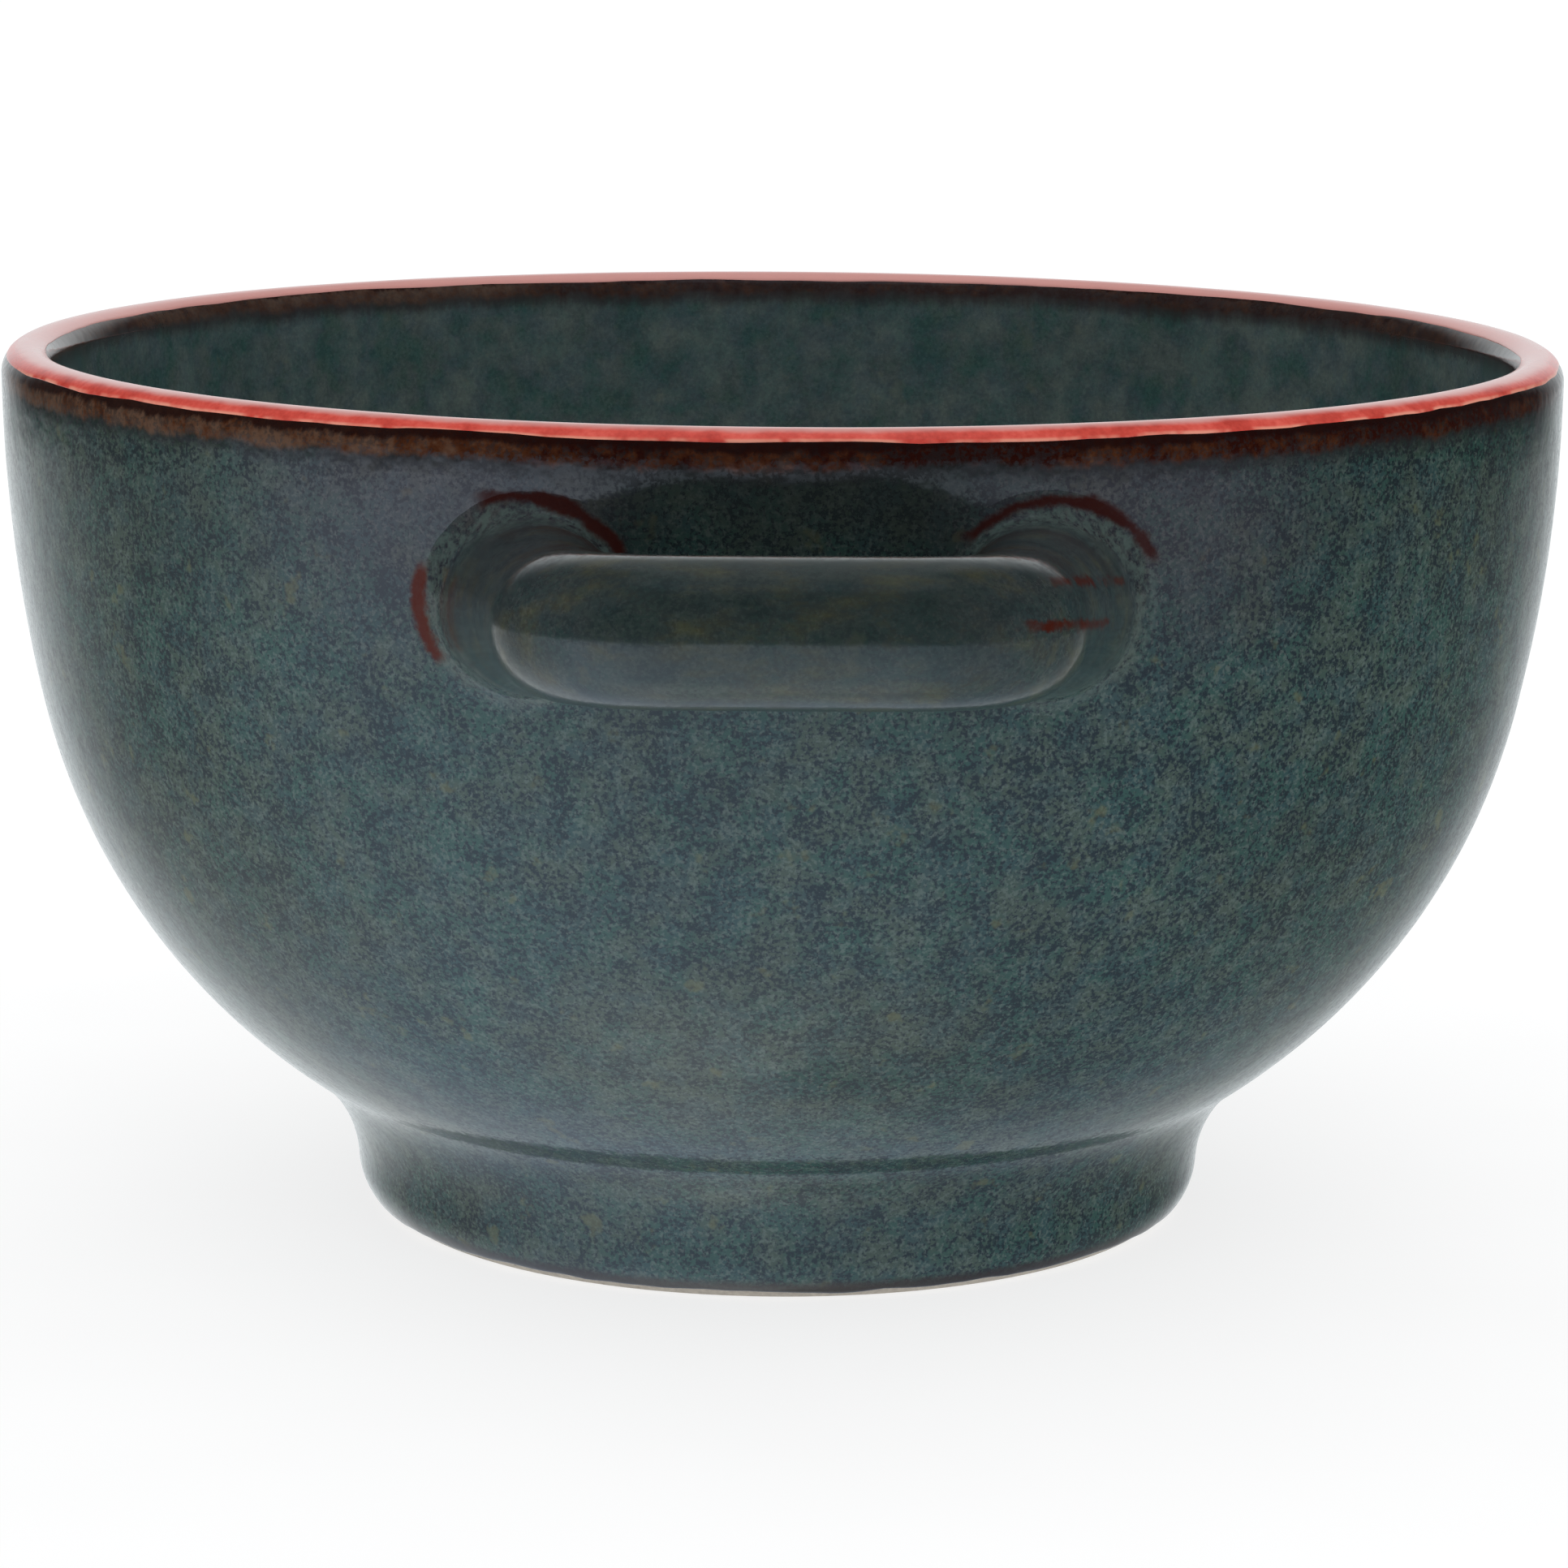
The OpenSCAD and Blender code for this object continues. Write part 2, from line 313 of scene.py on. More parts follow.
def outer_section(angle):
    tuck = BAND_OUTER_A - BAND_TUCK_A
    bare = max(BARE_FOOT_LEAST_H, BARE_FOOT_H + FOOT_EDGE_WANDER * wander(angle, FOOT_EDGE_NOISE))
    edge_a = edge_angle(0, bare + FOOT_BEAD_H)
    under_edge_a = edge_angle(GLAZE_T, bare + FOOT_BEAD_H)
    top = fixed_arc(lip_c, lip_r, 90 - tuck, 0, LIP_STEPS)
    under_top = fixed_arc(lip_c, lip_r - GLAZE_T, 90 - tuck, 0, LIP_STEPS)
    low = fixed_arc(edge_c, FOOT_EDGE_R, -FOOT_LEAN, -edge_a, FOOT_EDGE_STEPS)
    under_low = fixed_arc(edge_c, FOOT_EDGE_R - GLAZE_T, -FOOT_LEAN, -under_edge_a, FOOT_EDGE_STEPS)
    out = chain(top, wall_out_0, low)
    back = chain(under_top, wall_out_1, under_low)
    end = direction(-edge_a - 90)
    return marked(out, 1) + marked(bead(out[-1], back[-1], end), BEAD_SHOWN) + marked(back[::-1], 0)


# Inner glaze: from under the lip band down to the middle of the floor
wall_in_0 = wall_inside(0)
wall_in_1 = wall_inside(GLAZE_T)


def inner_section(_angle):
    tuck = BAND_INNER_A - BAND_TUCK_A
    floor_h = floor_c[1] - floor_r
    middle = [np.array([floor_c[0] * (1 - t), floor_h]) for t in np.linspace(0, 1, FLOOR_POINTS)]
    out = chain(fixed_arc(lip_c, lip_r, 90 + tuck, 180, LIP_STEPS), wall_in_0, middle)
    back = chain(fixed_arc(lip_c, lip_r - GLAZE_T, 90 + tuck, 180, LIP_STEPS), wall_in_1)
    back = chain(back, [back[-1], np.array([0.0, floor_h - GLAZE_T])])
    return marked(out[::-1], 1) + marked(back, 0)


# Recess glaze: the ceiling under the bowl, a filleted corner, and the foot ring's inner side
def recess_section(angle):
    bare = BARE_RECESS_H + FOOT_EDGE_WANDER * wander(angle, RECESS_EDGE_NOISE)
    side_r = foot_face_r - GLAZE_T / math.cos(math.radians(RECESS_LEAN))
    low = np.array([side_r - bare * recess_slope, bare])
    corner_h = ceiling_h - RECESS_FILLET
    corner_r = side_r - corner_h * recess_slope - RECESS_FILLET / math.cos(math.radians(RECESS_LEAN))
    fillet = fixed_arc(np.array([corner_r, corner_h]), RECESS_FILLET, 90, RECESS_LEAN, RECESS_FILLET_STEPS)
    ceiling = [np.array([fillet[0][0] * t, ceiling_h]) for t in np.linspace(0, 1, CEILING_POINTS)]
    low_clay = np.array([foot_face_r - bare * recess_slope, bare])
    top_clay = np.array([foot_face_r - joint_h * recess_slope, joint_h])
    out = chain(ceiling, fillet, [fillet[-1], low])
    round_end = bead(low, low_clay, np.array([0.0, -1.0]))
    back = [low_clay, top_clay, np.array([0.0, joint_h])]
    return marked(out, 1) + marked(round_end, BEAD_SHOWN) + marked(back, 0)


# Lip band: a thin coloured coat over the top of the lip, with an uneven edge on both sides
def band_section(angle):
    start = 90 - BAND_OUTER_A - BAND_EDGE_WANDER_A * wander(angle, BAND_OUTER_NOISE)
    end = 90 + BAND_INNER_A + BAND_EDGE_WANDER_A * wander(angle, BAND_INNER_NOISE)
    out, back = [], []
    for i in range(BAND_STEPS + 1):
        t = i / BAND_STEPS
        from_edge = min(1.0, min(t, 1 - t) * BAND_STEPS / BAND_ROUND_STEPS)
        rounded = math.sqrt(max(0.0, 1 - (1 - from_edge) ** 2))
        proud = -BAND_EDGE_SINK + (BAND_PROUD + BAND_EDGE_SINK) * rounded
        out.append(lip_c + (lip_r + proud) * direction(start + (end - start) * t))
        back.append(lip_c + (lip_r - GLAZE_T) * direction(start + (end - start) * t))
    return marked(out, BAND_SHOWN) + marked(back[::-1], 0)


def tipped(x, y, z):
    """A point of the level loop, tipped up about the line through the roots."""
    out = y - root_y
    return np.array([x, root_y + out * tip[0] - z * tip[1], lug_h + out * tip[1] + z * tip[0]])


def leg_point(depth, t, along, share):
    """A point on the leg, which grows from the bar's round at share 0 to the root's oval at share 1."""
    grow = share * share * (3 - 2 * share)
    a = BAR_R + (ROOT_HALF_W - BAR_R) * grow - depth
    b = BAR_R + (ROOT_HALF_H - BAR_R) * grow - depth
    p = leg_top + a * math.cos(t) * leg_side + along * leg_way
    return tipped(p[0], p[1], b * math.sin(t))


def wall_along(depth, t):
    """How far along the leg's line at section angle t the wall is."""
    near, far = 0.0, LEG_SEARCH
    for _ in range(HALVINGS):
        middle = (near + far) / 2
        p = leg_point(depth, t, middle, 1.0)
        if math.hypot(p[0], p[1]) > wall_radius(p[2]) - depth:
            near = middle
        else:
            far = middle
    return near


def on_wall(depth, around, up):
    """A point of the wall from its distance around the bowl and upward from the root's middle."""
    angle, z = root_a + around / root_r, lug_h + up
    r = wall_radius(z) - depth
    return np.array([r * math.sin(angle), r * math.cos(angle), z])


def half_lug(depth, thetas):
    """Rings from the root on the wall to the middle of the bar, on +X and +Y."""
    rings = []
    starts, corners, ends, lengths = [], [], [], []
    for t in thetas:
        along = wall_along(depth, t)
        corner = leg_point(depth, t, along, 1.0)
        around = root_r * (math.atan2(corner[0], corner[1]) - root_a)
        up = corner[2] - lug_h
        wide = FILLET_BESIDE + (FILLET_ABOVE - FILLET_BESIDE) * math.sin(t) ** 2
        more = 1 + wide / math.hypot(around, up)
        starts.append(leg_point(depth, t, along - FILLET_UP_LEG, 1.0))
        corners.append(corner)
        ends.append(on_wall(depth, around * more, up * more))
        lengths.append(along - FILLET_UP_LEG)
    for i in range(FILLET_RINGS):
        s = i / FILLET_RINGS
        rings.append([
            (1 - s) ** 2 * e + 2 * s * (1 - s) * c + s * s * p for e, c, p in zip(ends, corners, starts)])
    for i in range(LEG_RINGS):
        share = 1 - i / LEG_RINGS
        rings.append([leg_point(depth, t, share * far, share) for t, far in zip(thetas, lengths)])
    r = BAR_R - depth
    for i in range(ELBOW_RINGS):
        out = direction(LEG_SPLAY + (90 - LEG_SPLAY) * i / ELBOW_RINGS)
        ring = []
        for t in thetas:
            reach = ELBOW_R + r * math.cos(t)
            ring.append(tipped(elbow_x + reach * out[0], elbow_y + reach * out[1], r * math.sin(t)))
        rings.append(ring)
    for i in range(BAR_RINGS + 1):
        x = elbow_x * (1 - i / BAR_RINGS)
        rings.append([tipped(x, bar_y + r * math.cos(t), r * math.sin(t)) for t in thetas])
    return rings


def lug(name, front):
    """The glaze over one lug: a bar, two elbows, and two legs that lean apart and flare into the wall."""
    turn = -1.0 if front else 1.0
    thetas = [2 * math.pi * i / LUG_SECTION for i in range(LUG_SECTION)]

    def loop(depth):
        half = np.array(half_lug(depth, thetas))
        return np.concatenate([half, half[-2::-1] * [-1, 1, 1]]) * [turn, turn, 1]

    outer = loop(0.0)
    normal = np.cross(np.roll(outer, -1, axis=1) - np.roll(outer, 1, axis=1), np.gradient(outer, axis=0))
    normal /= np.linalg.norm(normal, axis=2, keepdims=True)
    middle = len(outer) // 2
    if normal[middle, 0] @ (outer[middle, 0] - outer[middle].mean(axis=0)) < 0:
        normal = -normal
    lift = np.array([[wave(*p) for p in ring] for ring in outer])
    lift[[0, -1]] -= ROOT_EDGE_SINK
    rings = np.concatenate([outer + normal * lift[:, :, None], loop(GLAZE_T)[::-1]])
    faces = []
    for n in range(len(rings)):
        m = (n + 1) % len(rings)
        for k in range(LUG_SECTION):
            h = (k + 1) % LUG_SECTION
            base, top = n * LUG_SECTION, m * LUG_SECTION
            faces.append([base + k, base + h, top + h, top + k])
    return make_mesh(name, rings.reshape(-1, 3), faces)


outer_coat = turned("outer_glaze_coat", outer_section, False)
inner_coat = turned("inner_glaze_coat", inner_section, True)
recess_coat = turned("recess_glaze_coat", recess_section, True)
band_coat = turned("lip_band_coat", band_section, False)
front_coat = lug("front_lug_glaze_coat", True)
rear_coat = lug("rear_lug_glaze_coat", False)

# How near a point of the band is to its outer edge: 1 there, and 0 a few points on
edge = band_coat.data.attributes.new("outer_edge", "FLOAT", "POINT")
band_points = 2 * (BAND_STEPS + 1)
edge.data.foreach_set(
    "value", [max(0.0, 1 - (i % band_points) / BAND_EDGE_POINTS) for i in range(len(edge.data))])

# Noises of the looks: size in millimetres, detail, roughness, seed and, where it isn't even, stretch
NOISES = {
    "warm": (5.0, 4.0, 0.62, 1.0),
    "cold": (3.0, 4.0, 0.65, 2.0),
    "cloud": (18.0, 3.0, 0.5, 3.0),
    "fleck": (0.40, 2.0, 0.65, 4.0),
    "glint": (0.36, 2.0, 0.65, 5.0),
    "mottle": (1.2, 4.0, 0.65, 6.0),
    "run": (9.0, 3.0, 0.55, 7.0),
    "arc_width": (5.0, 2.0, 0.5, 8.0),
    "upper_wall": (24.0, 3.0, 0.5, 9.0),
    "swell": (2.4, 2.0, 0.5, 10.0),
    "spot": (3.4, 3.0, 0.6, 11.0),
    "band_blotch": (4.0, 3.0, 0.6, 12.0),
    "band_grain": (0.6, 3.0, 0.65, 13.0),
    "bar_blotch": (2.6, 4.0, 0.6, 14.0, (0.5, 1, 1)),
    "drip": (1.6, 4.0, 0.65, 15.0, (1, 1, 0.22)),
    "pool": (0.7, 4.0, 0.65, 16.0),
    "ripple": (0.8, 1.0, 0.5, 17.0),
    "inside_cloud": (4.5, 4.0, 0.65, 18.0),
    "left_sheen": (16.0, 2.0, 0.5, 19.0),
    "clump": (2.4, 3.0, 0.6, 20.0),
    "clay_grain": (0.5, 4.0, 0.65, 21.0),
    "clay_cloud": (5.0, 3.0, 0.5, 22.0),
    "clay_speck": (0.9, 1.0, 0.5, 23.0),
    "paper": (40.0, 2.0, 0.5, 31.0),
    "lower_streak": (3.5, 2.0, 0.6, 76.6),
    "upper_streak": (3.5, 2.0, 0.6, 79.8),
}
SEED_SHIFT = (0.37, 0.71, 0.53)

# Colours of the glaze
TEAL = (0.0180, 0.0560, 0.0480)
GREY_GREEN = (0.0360, 0.0580, 0.0465)
NAVY = (0.0160, 0.0420, 0.0520)
DARK_FLECK = (0.0030, 0.0110, 0.0160)
PALE_GRAIN = (0.0900, 0.1250, 0.1150)
OLIVE = (0.0850, 0.0950, 0.0460)
INSIDE_CLOUDS = (
    (0.38, (0.0200, 0.0350, 0.0330)), (0.50, (0.0380, 0.0430, 0.0470)), (0.62, (0.0580, 0.0660, 0.0640)))
UPPER_WALL_TINT = (0.68, 0.70, 0.66)
# Behind the bar: painted shade and a painted reflection of the lug. Beside the lugs: a painted lilac sheen
BEHIND_BAR_SHADE_TINT = (0.50, 0.43, 0.43)
BESIDE_LUG_SHEEN_TINT = (0.86, 0.65, 0.71)
BEHIND_BAR_PAINTED_SHADE = (0.0122, 0.0160, 0.0152)
BESIDE_LUG_PAINTED_SHEEN = (0.0400, 0.0350, 0.0430)
BAR_BLOTCHES = (
    (0.36, (0.0110, 0.0230, 0.0220)), (0.50, (0.0230, 0.0330, 0.0310)),
    (0.60, (0.0360, 0.0400, 0.0260)), (0.70, (0.0540, 0.0540, 0.0230)))
BREAK_END_INSIDE = (0.0240, 0.0145, 0.0150)
BREAK_END_OUTSIDE = (0.0110, 0.0110, 0.0115)
BREAK_BROWNS = (
    (0.43, (0.0190, 0.0026, 0.0010)), (0.55, (0.0540, 0.0170, 0.0060)), (0.67, (0.0900, 0.0500, 0.0320)))
BREAK_TOP = (0.0110, 0.0020, 0.0014)
FOOT_BROWN = (0.016, 0.008, 0.006)
POOL_PALE = (0.0650, 0.0950, 0.0860)
ARC_RED = (0.0260, 0.0040, 0.0025)
LIVELY_RED = (0.0640, 0.0080, 0.0015)

# Where the noises count, from start to full
WARM = (0.40, 0.60)
COLD = (0.45, 0.62)
FLECK = (0.78, 0.62)
GLINT = (0.65, 0.83)
SPOT = (0.63, 0.72)
POOL_STREAKS = (0.38, 0.62)
ARC_WIDE = (0.40, 0.64)
STREAK_UNBROKEN = (0.38, 0.58)

# How strong the speckle and how bright the glaze is. The higher level inside is painted light that offsets
# the shade inside the bowl
CALM_INSIDE, CALM_OUTSIDE, CALM_ON_LUG = 0.45, 1.0, -0.10
INSIDE_PAINTED_LIGHT_LEVEL, LEVEL_OUTSIDE, LEVEL_CLOUD = 1.50, 0.80, 0.6
BROWN_INSIDE, BROWN_OUTSIDE, BROWN_ON_FLECK = 0.65, 1.00, -0.50

# Where the glaze changes, in millimetres: from start to full, and for a window on to where it falls and ends
LUG_SIDE = (69.0, 70.5)
NEAR_WALL = (65.4, 65.8, 70.5, 72.5)
UPPER_WALL = (24.0, 4.0)
UPPER_WALL_WANDER = 16.0
# Where the painted lilac sheen beside the lugs lies
BESIDE_LUG = (9.0, 19.0, 30.0, 46.0)
# Where the painted shade behind the bar lies
BEHIND_BAR = (22.0, 10.0)
BREAK_END = (4.4, 2.9)
BREAK_BROWN = (3.1, 2.4)
BREAK_DARK = (1.7, 1.2)
BREAK_SHIFT_INSIDE = 2.55
BREAK_SHIFT_OUTSIDE = 1.65
BREAK_RUN, BREAK_DRIP = 1.8, 1.5
# Where the painted reflection on the brown to the left sets in, and how far it wanders
PAINTED_SHEEN_LEFT = (20.0, -5.0)
PAINTED_SHEEN_WANDER = 60.0
FOOT_BREAK = (2.50, 1.60)
FOOT_MOTTLE = 0.8
ROOT_SHIFT = 0.3
ROOT_SQUASH = 1.05
POOL_RING = (6.0, 6.9, 7.9, 8.7)
RED_RING = 9.3
RED_WIDTH = (0.65, 0.05)
RED_WIDER = 0.40
LEFT_ARC_INSET = 0.6
LEFT_SIDE = (2.0, -2.0)
FRONT_SIDE = (0.0, -10.0)

# Red-brown arcs round the roots: on the left or not, and where they begin and end, in degrees from outward
# through upward. The lively arc is the left root's outward one
ROOT_ARCS = ((True, -38.0, 20.0), (True, 68.0, 152.0), (False, 24.0, 138.0))
ARC_END_A = 5.0
LIVELY_ARC = (45.0, 30.0)

# Red streaks along the front lug's right elbow: height, where they begin and end sideways, and their noise
ELBOW_STREAKS = ((55.8, 17.0, 25.6, "upper_streak"), (52.6, 14.0, 24.8, "lower_streak"))
STREAK_SLOPE = 0.147
STREAK_MOTTLE = 1.2
STREAK_WIDTH = (0.55, 0.10)
STREAK_START, STREAK_STOP = 4.0, 0.8

GLAZE_IOR = 1.5


class Nodes:
    """Short ways to add the nodes of one material."""

    def __init__(self, name):
        self.material = bpy.data.materials.new(name)
        self.material.use_nodes = True
        self.tree = self.material.node_tree
        self.shader = self.tree.nodes["Principled BSDF"]
        place = self.tree.nodes.new("ShaderNodeTexCoord")
        self.place = place.outputs["Object"]

    def link(self, source, socket):
        if isinstance(source, bpy.types.NodeSocket):
            self.tree.links.new(source, socket)
        else:
            socket.default_value = source

    def set(self, **values):
        """Links or sets the shader's inputs, named with _ for a space."""
        for name, value in values.items():
            self.link(value, self.shader.inputs[name.replace("_", " ")])

    def math(self, operation, a, b=0.0, c=0.0):
        node = self.tree.nodes.new("ShaderNodeMath")
        node.operation = operation
        for source, socket in zip((a, b, c), node.inputs):
            self.link(source, socket)
        return node.outputs[0]

    def plus(self, a, b):
        return self.math("ADD", a, b)

    def minus(self, a, b):
        return self.math("SUBTRACT", a, b)

    def times(self, a, b):
        return self.math("MULTIPLY", a, b)

    def times_plus(self, a, b, c):
        return self.math("MULTIPLY_ADD", a, b, c)

    def most(self, a, b):
        return self.math("MAXIMUM", a, b)

    def size(self, a):
        return self.math("ABSOLUTE", a)

    def length(self, a, b):
        return self.math("SQRT", self.plus(self.times(a, a), self.times(b, b)))

    def axes(self):
        """The place on the object, along X, Y and Z in millimetres."""
        node = self.tree.nodes.new("ShaderNodeSeparateXYZ")
        self.link(self.place, node.inputs[0])
        return [self.times(axis, METRE) for axis in node.outputs]

    def noise(self, name):
        """One of the noises, from 0 to 1."""
        size_mm, detail, rough, seed, *stretch = NOISES[name]
        shift = self.tree.nodes.new("ShaderNodeMapping")
        self.link(self.place, shift.inputs["Vector"])
        shift.inputs["Location"].default_value = [seed * k for k in SEED_SHIFT]
        if stretch:
            shift.inputs["Scale"].default_value = stretch[0]
        node = self.tree.nodes.new("ShaderNodeTexNoise")
        self.link(shift.outputs[0], node.inputs["Vector"])
        node.inputs["Scale"].default_value = 1 / (size_mm * MM)
        node.inputs["Detail"].default_value = detail
        node.inputs["Roughness"].default_value = rough
        return node.outputs[0]

    def step(self, value, start, full):
        """Smoothly from 0 at start to 1 at full, which may be lower than start."""
        node = self.tree.nodes.new("ShaderNodeMapRange")
        node.interpolation_type = "SMOOTHSTEP"
        self.link(value, node.inputs["Value"])
        node.inputs["From Min"].default_value = start
        node.inputs["From Max"].default_value = full
        return node.outputs[0]

    def window(self, value, start, full, fall, end):
        """Smoothly from 0 at start to 1 at full, and from fall back to 0 at end."""
        return self.times(self.step(value, start, full), self.step(value, end, fall))

    def ramp(self, value, stops):
        node = self.tree.nodes.new("ShaderNodeValToRGB")
        self.link(value, node.inputs[0])
        while len(node.color_ramp.elements) < len(stops):
            node.color_ramp.elements.new(0.5)
        for element, (at, colour) in zip(node.color_ramp.elements, stops):
            element.position = at
            element.color = (*colour, 1)
        return node.outputs[0]

    def mix(self, factor, a, b, blend="MIX"):
        node = self.tree.nodes.new("ShaderNodeMix")
        node.data_type = "RGBA"
        node.blend_type = blend
        self.link(factor, node.inputs["Factor"])
        for source, socket in ((a, node.inputs[6]), (b, node.inputs[7])):
            self.link((*source, 1) if isinstance(source, tuple) else source, socket)
        return node.outputs[2]

    def grey(self, value):
        node = self.tree.nodes.new("ShaderNodeCombineColor")
        for socket in node.inputs:
            self.link(value, socket)
        return node.outputs[0]

    def bump(self, height, strength, depth_mm):
        node = self.tree.nodes.new("ShaderNodeBump")
        node.inputs["Strength"].default_value = strength
        node.inputs["Distance"].default_value = depth_mm * MM
        self.link(height, node.inputs["Height"])
        self.set(Normal=node.outputs[0])


class Glaze(Nodes):
    """Dark teal glaze, speckled and mottled, that breaks to brown where it runs thin. It is calmer inside,
    and brighter there as painted light. Outside it has painted shade and a painted sheen near the lugs, and a
    painted reflection in the brown on the left.
    """

    def __init__(self, name, inside):
        super().__init__(name)
        self.inside = inside
        self.x, self.y, self.z = self.axes()
        self.below_lip = self.minus(BOWL_H, self.z)
        self.radius = self.length(self.x, self.y)
        self.lug_side = self.step(self.radius, *LUG_SIDE)
        self.mottle = self.noise("mottle")

        self.speckle()
        if inside:
            self.cover(self.ramp(self.noise("inside_cloud"), INSIDE_CLOUDS), 0.55)
        else:
            self.upper_wall()
        # Brighter inside than outside: painted light against the shade inside the bowl
        level = self.times_plus(self.noise("cloud"), LEVEL_CLOUD, INSIDE_PAINTED_LIGHT_LEVEL if inside else LEVEL_OUTSIDE)
        self.cover(self.grey(level), 1.0, blend="MULTIPLY")
        self.break_below_lip()
        self.break_at_foot()
        self.pool_at_roots()
        red = self.red_at_roots()

        rough = self.times_plus(self.fleck, 0.10, 0.08)
        self.set(
            Base_Color=self.colour,
            Roughness=self.times_plus(self.most(red, self.lug_side), 0.05, rough),
            Specular_IOR_Level=self.times_plus(red, -0.33, 0.5),
            IOR=GLAZE_IOR,
        )
        uneven = self.times_plus(self.noise("ripple"), 0.12, self.noise("swell"))
        self.bump(uneven, strength=0.45, depth_mm=0.08)

    def cover(self, colour, where, share=1.0, blend="MIX"):
        """Lays a colour over the ones so far, where it says and by this share."""
        self.colour = self.mix(self.times(where, share), self.colour, colour, blend)

    def speckle(self):
        """Grey, teal and navy drifts, fine dark flecks, pale grains, and a few olive spots."""
        calm = self.times_plus(self.lug_side, CALM_ON_LUG, CALM_INSIDE if self.inside else CALM_OUTSIDE)
        self.colour = self.mix(self.step(self.noise("warm"), *WARM), TEAL, GREY_GREEN)
        self.cover(NAVY, self.step(self.noise("cold"), *COLD), share=0.60)
        clump = self.noise("clump")
        grain = self.times_plus(clump, 0.45, self.noise("fleck"))
        self.fleck = self.times(self.step(grain, *FLECK), calm)
        self.cover(DARK_FLECK, self.fleck, share=0.95)
        grain = self.times_plus(clump, 0.30, self.noise("glint"))
        self.cover(PALE_GRAIN, self.times(self.step(grain, *GLINT), calm), share=0.55)
        self.cover(OLIVE, self.times(self.step(self.noise("spot"), *SPOT), calm), share=0.55)

    def upper_wall(self):
        """Darker near the lip, a painted lilac sheen beside the roots, painted shade and a painted reflection
        of the lug in dark green behind the bar, and blotchy on the lugs.
        """
        high = self.plus(self.below_lip, UPPER_WALL_WANDER / 2)
        high = self.times_plus(self.noise("upper_wall"), -UPPER_WALL_WANDER, high)
        high = self.step(high, *UPPER_WALL)
        sideways = self.size(self.x)
        beside_lug = self.window(sideways, *BESIDE_LUG)
        behind_bar = self.step(sideways, *BEHIND_BAR)
        # Behind the bar the tint is painted shade
        tint = self.mix(behind_bar, UPPER_WALL_TINT, BEHIND_BAR_SHADE_TINT)
        # Beside the lug the tint is a painted lilac sheen
        tint = self.mix(beside_lug, tint, BESIDE_LUG_SHEEN_TINT)
        self.cover(tint, high, blend="MULTIPLY")
        # Painted shade and a painted reflection of the lug, dark green, behind the bar
        self.cover(BEHIND_BAR_PAINTED_SHADE, self.times(high, behind_bar), share=0.60)
        # A painted lilac sheen beside the lug
        self.cover(BESIDE_LUG_PAINTED_SHEEN, self.times(high, beside_lug), share=0.45)
        self.cover(self.ramp(self.noise("bar_blotch"), BAR_BLOTCHES), self.lug_side, share=0.50)

    def break_below_lip(self):
        """Thin glaze: nearly black next to the band, then red-brown, lighter to the left as a painted
        reflection of the bright left side, and ragged below.
        """
        run = self.noise("run")
        ragged = self.plus(self.below_lip, BREAK_SHIFT_INSIDE if self.inside else BREAK_SHIFT_OUTSIDE)
        ragged = self.times_plus(self.noise("drip"), -BREAK_DRIP, ragged)
        ragged = self.times_plus(run, -BREAK_RUN, ragged)
        end = BREAK_END_INSIDE if self.inside else BREAK_END_OUTSIDE
        self.cover(end, self.step(ragged, *BREAK_END), share=0.75)
        # Lighter brown to the left: a painted reflection of the bright left side
        left_sheen = self.step(self.times_plus(self.noise("left_sheen"), PAINTED_SHEEN_WANDER, self.x), *PAINTED_SHEEN_LEFT)
        value = self.times_plus(run, 0.45, self.times(self.mottle, 0.45))
        brown = self.ramp(self.times_plus(left_sheen, 0.15, value), BREAK_BROWNS)
        share = self.times_plus(self.fleck, BROWN_ON_FLECK, BROWN_INSIDE if self.inside else BROWN_OUTSIDE)
        self.cover(brown, self.step(ragged, *BREAK_BROWN), share)
        self.cover(BREAK_TOP, self.step(ragged, *BREAK_DARK), share=0.90)

    def break_at_foot(self):
        """A brown line along the foot, just above the bare clay."""
        line = self.step(self.times_plus(self.mottle, FOOT_MOTTLE, self.z), *FOOT_BREAK)
        self.cover(FOOT_BROWN, line, share=0.85)

    def pool_at_roots(self):
        """Pale glaze pooled in the corner around the roots of the lugs, in streaks."""
        self.across = self.minus(self.size(self.x), root_x + ROOT_SHIFT)
        self.along = self.times(self.minus(self.z, lug_h), ROOT_SQUASH)
        self.ring = self.length(self.across, self.along)
        self.near_wall = self.window(self.radius, *NEAR_WALL)
        pool = self.times(self.window(self.ring, *POOL_RING), self.near_wall)
        self.cover(POOL_PALE, self.times(pool, self.step(self.noise("pool"), *POOL_STREAKS)), share=0.65)

    def red_at_roots(self):
        """Red-brown arcs outside the pools, and streaks on an elbow. Gives where they are."""
        turn = self.math("ARCTAN2", self.along, self.across)
        on_left = self.step(self.x, *LEFT_SIDE)
        lively = self.times(on_left, self.step(turn, *map(math.radians, LIVELY_ARC)))
        off = self.minus(self.ring, self.times_plus(lively, -LEFT_ARC_INSET, RED_RING))
        off = self.size(self.plus(self.mottle, off))
        off = self.times_plus(self.step(self.noise("arc_width"), *ARC_WIDE), -RED_WIDER, off)
        red = self.times(self.step(off, *RED_WIDTH), self.near_wall)
        arcs = 0.0
        for left, first, last in ROOT_ARCS:
            ends = (first - ARC_END_A, first + ARC_END_A, last - ARC_END_A, last + ARC_END_A)
            part = self.window(turn, *map(math.radians, ends))
            arcs = self.most(arcs, self.times(part, on_left if left else self.minus(1.0, on_left)))
        red = self.times(red, arcs)
        for streak in ELBOW_STREAKS:
            red = self.most(red, self.elbow_streak(*streak))
        lively = self.most(lively, self.times(self.lug_side, 0.6))
        self.cover(self.mix(lively, ARC_RED, LIVELY_RED), red, share=0.92)
        return red

